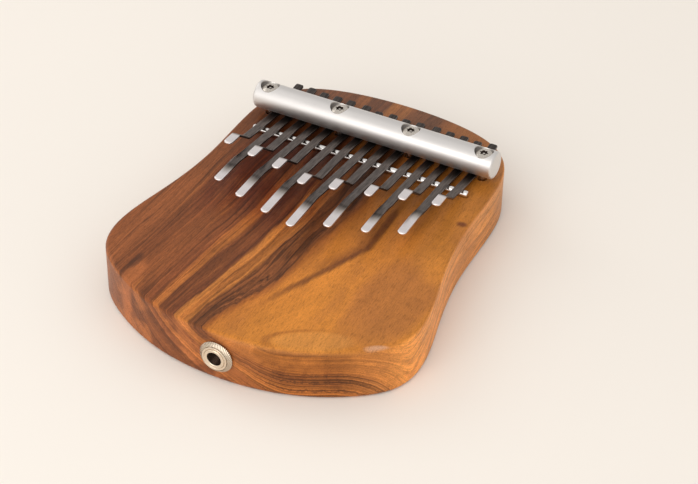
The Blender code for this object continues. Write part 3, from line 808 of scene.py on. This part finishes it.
def make_board(looks):
    board = add_piece("board_shell", *loft(board_rings()), looks["oiled_walnut"])
    cutters = []
    for low, high, ceiling, radius in (CAVITY, COVER_POCKET):
        cutters.append(loft(rounded_box((*low, -LIP), (*high, ceiling), radius)))
    x, _, z = middle_mm("jack_washer")
    tunnel = [(JACK_HOLE_R, FRONT_Y - 2.0), (JACK_HOLE_R, CAVITY[0][1] + LIP)]
    cutters.append(turned((x, 0.0, z), "y", tunnel, 48))
    for index in range(1, 5):
        node = f"clamp_screw_{index}"
        hole = [
            (CLAMP_HOLE_R, box_mm(node)[0].z - 0.5), (CLAMP_HOLE_R, BOARD_T - 0.35),
            (CLAMP_HOLE_R + 0.35, BOARD_T), (CLAMP_HOLE_R + 0.35, BOARD_T + LIP),
        ]
        cutters.append(turned((middle_mm(node)[0], BAR_Y, 0.0), "z", hole, 32))
        x, y, _ = middle_mm(f"cover_screw_{index}")
        hole = [(COVER_HOLE_R, 1.0), (COVER_HOLE_R, 13.0)]
        cutters.append(turned((x, y, 0.0), "z", hole, 24))
    for node in ("front_bridge", "rear_bridge"):
        low, high = box_mm(node)
        _, y, z = middle_mm(node)
        radius = (high.y - low.y) / 2 + 0.15
        trough = [(radius, low.x - 0.3), (radius, high.x + 0.3)]
        cutters.append(turned((0.0, y, z), "x", trough, 48))
    carve(board, cutters)
    install(board, "board")


# ---- bar, screws and bridges
def rod_profile(radius, half, rounding, flat, steps):
    """Profile of a rod along X with rounded ends, from one flat end to the other."""
    left = arc((radius - rounding, -half + rounding), rounding, 270, 360, steps)
    right = [(r, -along) for r, along in reversed(left)]
    return [(flat, -half)] + left + right + [(flat, half)]


def make_bar(looks):
    """Solid rod with softly rounded ends and four countersinks."""
    half = (bar_high.x - bar_low.x) / 2
    profile = rod_profile(BAR_R, half, BAR_ROUND, BAR_R - BAR_ROUND - 1.0, 6)
    skin = turned((0.0, BAR_Y, BAR_Z), "x", profile, 128)
    bar = add_piece("rod", *skin, looks["satin_aluminium"])
    seats = []
    for index in range(1, 5):
        node = f"clamp_screw_{index}"
        low, high = box_mm(node)
        radius, rim = (high.x - low.x) / 2, high.z - SCREW_DOME
        seat = [
            (2.1, BAR_Z - BAR_R - LIP), (2.1, rim - radius + 1.2), (radius + 0.30, rim - 0.1),
            (radius + 0.45, rim + 0.2), (radius + 0.45, BAR_Z + BAR_R + LIP),
        ]
        seats.append(turned((middle_mm(node)[0], BAR_Y, 0.0), "z", seat, 96))
    carve(bar, seats)
    install(bar, "pressure_bar")


def lobed(scale):
    """Radius of a six-lobe recess, as a function of the angle."""
    return lambda angle: scale * (LOBE_R + LOBE_DEPTH * math.cos(LOBES * angle))


def make_clamp_screw(index, looks):
    """Raised countersunk screw with a six-lobe recess and a real thread form."""
    node = f"clamp_screw_{index}"
    low, high = box_mm(node)
    head, rim, floor = (high.x - low.x) / 2, high.z - SCREW_DOME, high.z - RECESS_DEPTH
    dome = (head**2 + SCREW_DOME**2) / (2 * SCREW_DOME)

    def crown(radius):
        """Height of the domed face at a radius."""
        return rim - dome + SCREW_DOME + math.sqrt(dome**2 - radius**2)

    profile = [
        (0.35, floor), (0.65, floor), (lobed(0.84), floor), (lobed(0.96), high.z - 0.35),
        (lobed(1.0), crown(LOBE_R) - 0.10), (lobed(1.06), crown(LOBE_R + 0.1) - 0.01),
    ]
    for share in (0.62, 0.74, 0.84, 0.92, 0.97):
        profile.append((head * share, crown(head * share) - 0.02))
    z = BOARD_T - 1.0
    profile += [(head, rim - 0.08), (head, rim - 0.22), (1.5, rim - head + 1.5), (1.5, z)]
    while z - THREAD_PITCH > low.z + 2.2:
        crest = [(1.95, z - share * THREAD_PITCH) for share in (0.42, 0.52)]
        profile += crest + [(1.4, z - THREAD_PITCH)]
        z -= THREAD_PITCH
    profile.append((0.35, low.z))
    skin = turned((middle_mm(node)[0], BAR_Y, 0.0), "z", profile, 96)
    screw = add_piece(f"screw_{index}", *skin, looks["screw_steel"])
    # Painted shade in the six-lobe recess: a bright centre, dark floor and walls
    shade_recess(screw, [0.0, 0.95, 1.0, 0.9, 0.3] + [0.0] * (len(profile) - 5), 96)
    install(screw, node)


def make_bridge(node, looks):
    """Polished rod with rounded ends."""
    low, high = box_mm(node)
    _, y, z = middle_mm(node)
    radius = (high.y - low.y) / 2
    profile = rod_profile(radius, high.x, radius * 0.35, radius * 0.3, 5)
    skin = turned((0.0, y, z), "x", profile, 64)
    rod = add_piece(f"{node}_rod", *skin, looks["polished_steel"])
    install(rod, node)


# ---- tines
def rounded_path(points, radii, steps=9):
    """Replace the inner corners of a (y, z) polyline by short curves."""
    path = [points[0]]
    for before, corner, after, radius in zip(points, points[1:], points[2:], radii):
        a = (before[0] - corner[0], before[1] - corner[1])
        b = (after[0] - corner[0], after[1] - corner[1])
        la, lb = math.hypot(*a), math.hypot(*b)
        turn = math.pi - math.acos(max(-1.0, min(1.0, (a[0] * b[0] + a[1] * b[1]) / (la * lb))))
        reach = min(radius * math.tan(turn / 2), 0.46 * la, 0.46 * lb)
        enter = (corner[0] + a[0] / la * reach, corner[1] + a[1] / la * reach)
        leave = (corner[0] + b[0] / lb * reach, corner[1] + b[1] / lb * reach)
        for k in range(steps + 1):
            t = k / steps
            w = ((1 - t) ** 2, 2 * t * (1 - t), t * t)
            path.append(tuple(
                w[0] * enter[c] + w[1] * corner[c] + w[2] * leave[c] for c in (0, 1)))
    path.append(points[-1])
    return path


def is_cranked(number):
    return number % 2 == 1


def tine_path(number):
    """Side view of a tine's top face, from its rear end to its tip, with its rounding radii."""
    reach, height = TINES[number - 1]
    front_y, rear_y = middle_mm("front_bridge")[1], middle_mm("rear_bridge")[1]
    over_rear, over_front = (
        box_mm(node)[1].z + BLEND + TINE_T for node in ("rear_bridge", "front_bridge"))
    rear_end = box_mm(f"tine_{number:02d}_anchor")[1].y
    tip_y, tip_z = front_y - reach, BOARD_T + height
    points = [
        (rear_end, over_rear + 0.6), (rear_y, over_rear), (BAR_Y, bar_low.z - BAR_AIR),
        (front_y - 1.0, over_front + 0.12),
    ]
    radii = [18.0, 60.0, 45.0]
    if is_cranked(number):
        pad_y = tip_y + SHORT_TIP
        points.append((pad_y + CRANK_RUNS[number // 2], BOARD_T + CRANK_FOOT))
        points.append((pad_y, tip_z - PAD_RISE))
        radii += [1.5, 1.5]
    else:
        knee_y = front_y - LONG_KNEE * reach
        points.append((knee_y, tip_z - LONG_RISE - LONG_KNEE_RISE))
        points.append((knee_y - LONG_KNEE_RUN, tip_z - LONG_RISE))
        radii += [26.0, 26.0]
    return points + [(tip_y, tip_z)], radii


def resampled(path):
    """Add points along the straight stretches, so that a bend can turn them smoothly."""
    dense = [path[0]]
    for a, b in zip(path, path[1:]):
        count = max(1, math.ceil(math.hypot(b[0] - a[0], b[1] - a[1]) / PATH_STEP))
        for k in range(1, count + 1):
            dense.append((a[0] + (b[0] - a[0]) * k / count, a[1] + (b[1] - a[1]) * k / count))
    return dense


def end_stations(path, corner, at_start):
    """Replace an end of the path by stations that follow its rounded corners, with widths."""
    path = path[::-1] if at_start else path
    tip, inner = path[-1], path[-2]
    length = math.hypot(tip[0] - inner[0], tip[1] - inner[1])
    unit = ((tip[0] - inner[0]) / length, (tip[1] - inner[1]) / length)
    kept = [p for p in path if math.hypot(p[0] - tip[0], p[1] - tip[1]) > corner + 0.05]
    widths = [TINE_W] * len(kept)
    for angle in (0, 22, 45, 68, 90):
        back = corner * (1 - math.sin(math.radians(angle)))
        kept.append((tip[0] - unit[0] * back, tip[1] - unit[1] * back))
        widths.append(TINE_W - 2 * corner * (1 - math.cos(math.radians(angle))))
    return (kept[::-1], widths[::-1]) if at_start else (kept, widths)


def strip_section(width, thickness):
    """Cross-section of the strip as (sideways, down), with rounded edges, and its edge marks."""
    r = min(TINE_EDGE, thickness * 0.42)
    section, edge = [], []
    corners = (
        (width / 2 - r, r, -90), (width / 2 - r, thickness - r, 0),
        (-width / 2 + r, thickness - r, 90), (-width / 2 + r, r, 180),
    )
    for cx, cy, start in corners:
        section += arc((cx, cy), r, start, start + 90, 4)
        edge += [0.0, 0.6, 1.0, 0.6, 0.0]
    return section, edge


def make_tine(number, looks):
    """One steel strip; the span in front of the front bridge where it bends when plucked is worked
    out but not used.
    """
    path = resampled(rounded_path(*tine_path(number)))
    path, rear_widths = end_stations(path, REAR_CORNER, True)
    path, tip_widths = end_stations(path, TIP_CORNER, False)
    rear_widths += [TINE_W] * len(path)
    widths = [min(a, b) for a, b in zip(rear_widths, tip_widths)]
    name = f"tine_{number:02d}"
    x = middle_mm(f"{name}_anchor")[0]
    travelled = [0.0]
    for a, b in zip(path, path[1:]):
        travelled.append(travelled[-1] + math.hypot(b[0] - a[0], b[1] - a[1]))

    rings, edges, ground = [], [], []
    shine, fade = (SHORT_TIP - 0.4, 0.9) if is_cranked(number) else (GROUND[number], 11.0)
    for k, (y, z) in enumerate(path):
        before, after = path[max(k - 1, 0)], path[min(k + 1, len(path) - 1)]
        dy, dz = after[0] - before[0], after[1] - before[1]
        length = math.hypot(dy, dz)
        down = (-abs(dz / length) * math.copysign(1, dz * -dy), -abs(dy / length))
        pinch = 0.0 if 0 < k < len(path) - 1 else END_PINCH
        from_tip = travelled[-1] - travelled[k]
        top = pinch + TIP_DROP * max(0.0, 1.0 - from_tip / FILED)
        section, edge = strip_section(widths[k] - 2 * pinch, TINE_T - pinch - top)
        rings.append([
            (x + side, y + down[0] * (depth + top), z + down[1] * (depth + top))
            for side, depth in section])
        edges += edge
        ground += [max(0.0, min(1.0, 0.5 + (shine - from_tip) / fade))] * len(section)
    tine = add_piece(name, *loft(rings), looks["spring_steel"], 38.0)
    mark(tine, "edge", edges)
    mark(tine, "ground", ground)
    hinge_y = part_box(f"{name}_blade")[1].y
    hinge_z = (box_mm(f"{name}_anchor")[1].z - TINE_T / 2) * MM
    start, end = (x * MM, hinge_y, hinge_z), (x * MM, hinge_y - FLEX * MM, hinge_z)
    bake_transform(tine)
    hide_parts(f"{name}_anchor", f"{name}_blade")


# ---- jack and cover
def jack_axis():
    x, _, z = middle_mm("jack_nut")
    return (x, 0.0, z)


def tooth_gap(angle, turn):
    """0 on a tooth of the ring nut and 1 in the gap beside it."""
    return 1 - ((1 + math.cos(NUT_TEETH * (angle + turn))) / 2) ** 0.6


def make_jack_nut(looks):
    """Ring nut with a sloping flank of slanted teeth, a groove and a smooth face."""
    low, high = box_mm("jack_nut")
    outer, back, face = (high.x - low.x) / 2, high.y, low.y
    segments = NUT_TEETH * TOOTH_STEPS
    flank = face + 0.35
    # (radius, place along the axis, depth of the teeth, distance down the flank, painted shade)
    profile = [(4.76, back, 0.0, 0.0, 0.0), (outer - 0.5, back, 0.0, 0.0, 0.0)]
    profile.append((outer - 0.15, back - 0.1, 0.1, 0.0, 0.2))
    for k in range(NUT_FLANK_STEPS + 1):
        share = k / NUT_FLANK_STEPS
        radius = outer - 0.05 - 1.45 * share**1.3
        depth = TOOTH_DEPTH * min(1.0, 4 * share + 0.5, 4 * (1 - share) + 0.1)
        along = back - 0.35 + (flank - back + 0.35) * share
        profile.append((radius, along, depth, 2.0 * share, 0.75))
    # Groove and smooth face: (radius inside the outer one, place along the axis, painted shade)
    for inside, along, dark in (
        (1.66, flank, 0.1), (1.72, flank + 0.30, 0.4), (1.92, flank + 0.30, 0.4),
        (1.98, face + 0.14, 0.1), (2.12, face, 0.0),
    ):
        profile.append((outer - inside, along, 0.0, 0.0, dark))
    for radius, drop in ((5.0, 0.0), (4.86, 0.08), (4.76, 0.2)):
        profile.append((radius, face + drop, 0.0, 0.0, 0.0))

    rings, shade = [], []
    for radius, along, depth, slope, dark in profile:
        turn = NUT_SLANT * slope / radius
        rings.append(circle(
            jack_axis(), "y", along,
            lambda angle: radius - depth * tooth_gap(angle, turn), segments))
        for k in range(segments):
            # Painted shade in the gaps between the teeth
            gap = tooth_gap(2 * math.pi * k / segments, turn) if depth else 1.0
            shade.append(dark * gap)
    nut = add_piece("ring_nut", *loft(rings, False), looks["nickel_plate"], 42.0)
    mark(nut, "recess", shade)
    install(nut, "jack_nut")


def make_jack_bushing(looks):
    """Barrel with a rolled collar round the plug hole, threads inside and the rear flange."""
    low, high = box_mm("jack_bushing")
    face, rear, bore = low.y, high.y, 3.25
    flange = box_mm("jack_washer")[1].y + 0.3
    collar = [(4.72, face + 0.34), (4.66, face + 0.16), (4.5, face + 0.03), (4.35, face)]
    lip = [(3.95, face), (3.8, face + 0.06), (3.62, face + 0.02), (3.42, face + 0.1)]
    lip.append((3.28, face + 0.3))
    inside, y = [], face + 0.9
    while y < face + 5.5:
        inside += [(bore, y), (bore + 0.22, y + 0.22), (bore, y + 0.44)]
        y += 0.66
    profile = collar + lip + inside + [(bore, rear - 0.5), (bore + 0.2, rear), (4.0, rear)]
    profile += [(4.0, flange + 1.5), (6.3, flange + 1.5), (6.4, flange + 1.4)]
    profile += [(6.4, flange), (4.72, flange)]
    skin = turned(jack_axis(), "y", profile, 96, False)
    barrel = add_piece("jack_barrel", *skin, looks["nickel_plate"], 40.0)
    # Painted shade inside the bore, from just past the lip to the back
    inner = [0.0 if y < face + 0.75 or r > bore + 0.3 else 1.0 for r, y in profile]
    shade_recess(barrel, inner, 96)
    install(barrel, "jack_bushing")


def make_cover(looks):
    """Moulded plate with softened edges and a shallow raised border."""
    low, high = box_mm("cavity_cover")
    rings = []
    for inset, rise in ((0.9, 0.0), (0.35, 0.0), (0.1, 0.1), (0.0, 0.35), (0.0, high.z - low.z)):
        corners = (low.x + inset, low.y + inset, 0), (high.x - inset, high.y - inset, 1)
        outer = rounded_box(*corners, COVER_CORNER - inset, 10)
        rings.append([(x, y, low.z + rise) for x, y, _ in outer[0]])
    cover = add_piece("pickup_cover", *loft(rings), looks["black_plastic"])
    cutters = []
    for index in range(1, 5):
        node = f"cover_screw_{index}"
        x, y, _ = middle_mm(node)
        screw_low, screw_high = box_mm(node)
        radius = (screw_high.x - screw_low.x) / 2 + 0.35
        seat = [
            (radius, low.z - LIP), (radius, low.z + 0.3), (1.6, low.z + 1.5), (1.6, high.z + LIP),
        ]
        cutters.append(turned((x, y, 0.0), "z", seat, 48))
    inner_low = (low.x + 9.0, low.y + 3.2, low.z - 0.5)
    inner_high = (high.x - 9.0, high.y - 3.2, low.z + 0.22)
    cutters.append(loft(rounded_box(inner_low, inner_high, 2.6, 8)))
    carve(cover, cutters)
    install(cover, "cavity_cover")


def make_cover_screw(index, looks):
    """Small countersunk screw with a cross recess and a turned thread."""
    node = f"cover_screw_{index}"
    low, high = box_mm(node)
    x, y, _ = middle_mm(node)
    radius = (high.x - low.x) / 2
    profile = [(0.3, low.z), (radius - 0.12, low.z), (radius, low.z + 0.1)]
    profile += [(radius, low.z + 0.22), (1.15, low.z + 1.7)]
    z = low.z + 2.2
    while z < high.z - 2.4:
        profile += [(1.05, z), (1.42, z + 0.38), (1.42, z + 0.46), (1.05, z + 0.84)]
        z += 0.84
    profile.append((0.3, high.z))
    skin = turned((x, y, 0.0), "z", profile, 48)
    screw = add_piece(f"cover_screw_head_{index}", *skin, looks["screw_steel"])
    cutters = []
    for wide, narrow in ((1.55, 0.33), (0.33, 1.55)):
        rings = []
        for shrink, z in ((1.0, low.z - 0.5), (1.0, low.z), (0.45, low.z + 1.0)):
            a, b = wide * shrink, narrow * shrink
            corners = ((-1, -1), (1, -1), (1, 1), (-1, 1))
            rings.append([(x + sx * a, y + sy * b, z) for sx, sy in corners])
        cutters.append(loft(rings))
    carve(screw, cutters)
    install(screw, node)


def dress_frame_nodes(looks):
    """Give every frame node that still shows the material of its slot."""
    slots = {part["node"]: part["material_slot"] for part in frame["record"]["subparts"]}
    for name, node in frame["nodes"].items():
        node.data.materials.clear()
        node.data.materials.append(looks[slots[name]])


# ---- stage
def make_camera():
    azimuth = math.radians(CAMERA_AZIMUTH)
    elevation = math.radians(CAMERA_ELEVATION)
    roll = math.radians(CAMERA_ROLL)
    level = math.cos(elevation)
    forward = Vector((
        -math.sin(azimuth) * level, math.cos(azimuth) * level, -math.sin(elevation)))
    right = Vector((math.cos(azimuth), math.sin(azimuth), 0.0))
    down = forward.cross(right)
    rolled_right = right * math.cos(roll) - down * math.sin(roll)
    rolled_down = right * math.sin(roll) + down * math.cos(roll)
    data = bpy.data.cameras.new("camera")
    data.lens = CAMERA_LENS
    data.sensor_width = 36.0
    data.clip_end = 20.0
    camera = add_object("camera", data)
    rotation = Matrix((rolled_right, -rolled_down, -forward)).transposed().to_4x4()
    camera.matrix_world = Matrix.Translation(Vector(CAMERA_PLACE) * MM) @ rotation
    bpy.context.scene.camera = camera


def softbox(name, place, size, power):
    """Rectangular area light at place, in metres, facing the instrument."""
    data = bpy.data.lights.new(name, "AREA")
    data.shape = "RECTANGLE"
    data.size, data.size_y = size
    data.energy = power
    data.color = LAMP_COLOUR
    light = add_object(name, data)
    light.location = place
    light.rotation_mode = "QUATERNION"
    light.rotation_quaternion = (Vector(LIT) - Vector(place)).to_track_quat("-Z", "Y")


def make_lights():
    """Soft lights in front and at the left, under a pale sky that is brighter at the front."""
    softbox("key", (0.02, -1.10, 0.80), (1.2, 0.9), 6.3)
    softbox("low", (-0.50, -1.10, 0.30), (1.1, 0.5), 0.9)
    softbox("side", (-0.95, 0.25, 0.75), (0.6, 0.6), 1.6)
    world = bpy.data.worlds.new("studio")
    world.use_nodes = True
    tree = world.node_tree
    place = tree.nodes.new("ShaderNodeTexCoord")
    split = tree.nodes.new("ShaderNodeSeparateXYZ")
    glow = tree.nodes.new("ShaderNodeMapRange")
    for label, value in SKY.items():
        glow.inputs[label].default_value = value
    backdrop = tree.nodes["Background"]
    backdrop.inputs["Color"].default_value = (1.0, 0.975, 0.95, 1.0)
    tree.links.new(place.outputs["Generated"], split.inputs[0])
    tree.links.new(split.outputs["Y"], glow.inputs["Value"])
    tree.links.new(glow.outputs["Result"], backdrop.inputs["Strength"])
    bpy.context.scene.world = world
    bpy.context.scene.view_settings.view_transform = "Standard"


def make_floor():
    look = Look("pale_floor", Roughness=0.9)
    cloud = look.noise((0.004,) * 3)
    colour = look.finish(look.shade(srgb(241, 235, 227), cloud * 0.04 + 0.98))
    ring = circle((0.0, 0.0, -0.05), "z", 0.0, FLOOR_R, 96)
    floor = add_piece("floor", ring, [tuple(range(len(ring)))], colour)


# ---- everything together
make_camera()
make_lights()
make_floor()
all_looks = make_looks()
dress_frame_nodes(all_looks)
make_board(all_looks)
make_bar(all_looks)
for screw_number in range(1, 5):
    make_clamp_screw(screw_number, all_looks)
for bridge in ("front_bridge", "rear_bridge"):
    make_bridge(bridge, all_looks)
for tine_number in range(1, len(TINES) + 1):
    make_tine(tine_number, all_looks)
make_jack_nut(all_looks)
make_jack_bushing(all_looks)
make_cover(all_looks)
for screw_number in range(1, 5):
    make_cover_screw(screw_number, all_looks)
